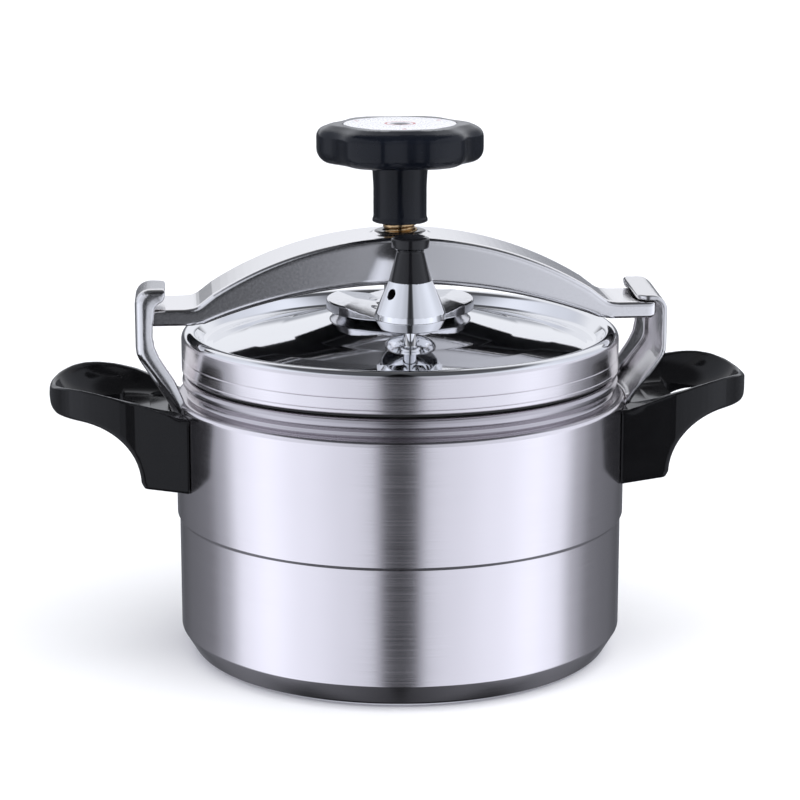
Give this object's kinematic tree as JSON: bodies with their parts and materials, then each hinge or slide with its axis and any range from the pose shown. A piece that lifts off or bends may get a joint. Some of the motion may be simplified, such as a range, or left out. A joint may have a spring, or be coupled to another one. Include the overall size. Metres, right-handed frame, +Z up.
{
  "type": "pressure canner",
  "caption": "Aluminium pressure canner with a screw-down crossbar over its lid, hooked clamp brackets, a weighted vent regulator, two loop handles and a lobed top knob.",
  "frame": {"origin": "centre of the base's underside, on the pot's axis", "axes": "+Z up; X along the crossbar and through both handles; the vent regulator is on the -Y side"},
  "size_m": [0.352, 0.2264, 0.267],
  "materials": {
    "pot_aluminium": "satin spun, fine turning lines",
    "lid_aluminium": "mirror polished on top, fine turned on the skirt",
    "rivet_aluminium": "satin",
    "clamp_steel": "polished",
    "crossbar_steel": "polished, fine brushed",
    "fastener_steel": "bright turned",
    "chrome_plate": "bright chrome",
    "brass": "turned",
    "bakelite": "glossy moulded",
    "regulator_plastic": "satin moulded",
    "gasket_rubber": "matt",
    "label_foil": "semi-gloss"
  },
  "bodies": {
    "pot": {"pot_body": "pot_aluminium", "left_clamp_bracket": "clamp_steel", "right_clamp_bracket": "clamp_steel", "bracket_rivets": "rivet_aluminium", "left_handle": "bakelite", "right_handle": "bakelite", "handle_screws": "fastener_steel", "handle_nuts": "fastener_steel"},
    "lid": {"lid_shell": "lid_aluminium", "lid_gasket": "gasket_rubber", "vent_pipe": "chrome_plate", "vent_pipe_nut": "fastener_steel", "vent_pipe_washer": "gasket_rubber", "safety_plug": "brass", "safety_plug_nut": "fastener_steel", "safety_plug_seal": "gasket_rubber", "pressure_plate": "clamp_steel", "plate_rivets": "rivet_aluminium"},
    "regulator": {"regulator_weight": "chrome_plate", "regulator_cap": "regulator_plastic", "regulator_needle": "brass"},
    "crossbar": {"crossbar_beam": "crossbar_steel", "crossbar_bush": "fastener_steel", "bush_lock_ring": "regulator_plastic"},
    "foot": {"screw_foot": "fastener_steel", "foot_clip": "fastener_steel"},
    "knob": {"spindle": "brass", "knob": "bakelite", "knob_label": "label_foil", "knob_screw": "fastener_steel"}
  },
  "joints": [
    {"name": "lid_lift", "type": "slide", "parent": "pot", "child": "lid", "axis": [0, 0, 1], "range_m": [0, 0.12]},
    {"name": "regulator_lift", "type": "slide", "parent": "lid", "child": "regulator", "axis": [0, 0, 1], "range_m": [0, 0.03]},
    {"name": "crossbar_swing", "type": "hinge", "parent": "lid", "child": "crossbar", "pos_m": [0, 0, 0.19], "axis": [0, 0, -1], "range_deg": [0, 40]},
    {"name": "screw_travel", "type": "slide", "parent": "crossbar", "child": "foot", "axis": [0, 0, 1], "range_m": [0, 0.01201]},
    {"name": "screw_turn", "type": "hinge", "parent": "foot", "child": "knob", "pos_m": [0, 0, 0.2], "axis": [0, 0, 1], "range_deg": [0, 1080]}
  ],
  "couplings": [
    {"joint": "screw_travel", "follows": "screw_turn", "m_per_rad": 0.00063662}
  ]
}
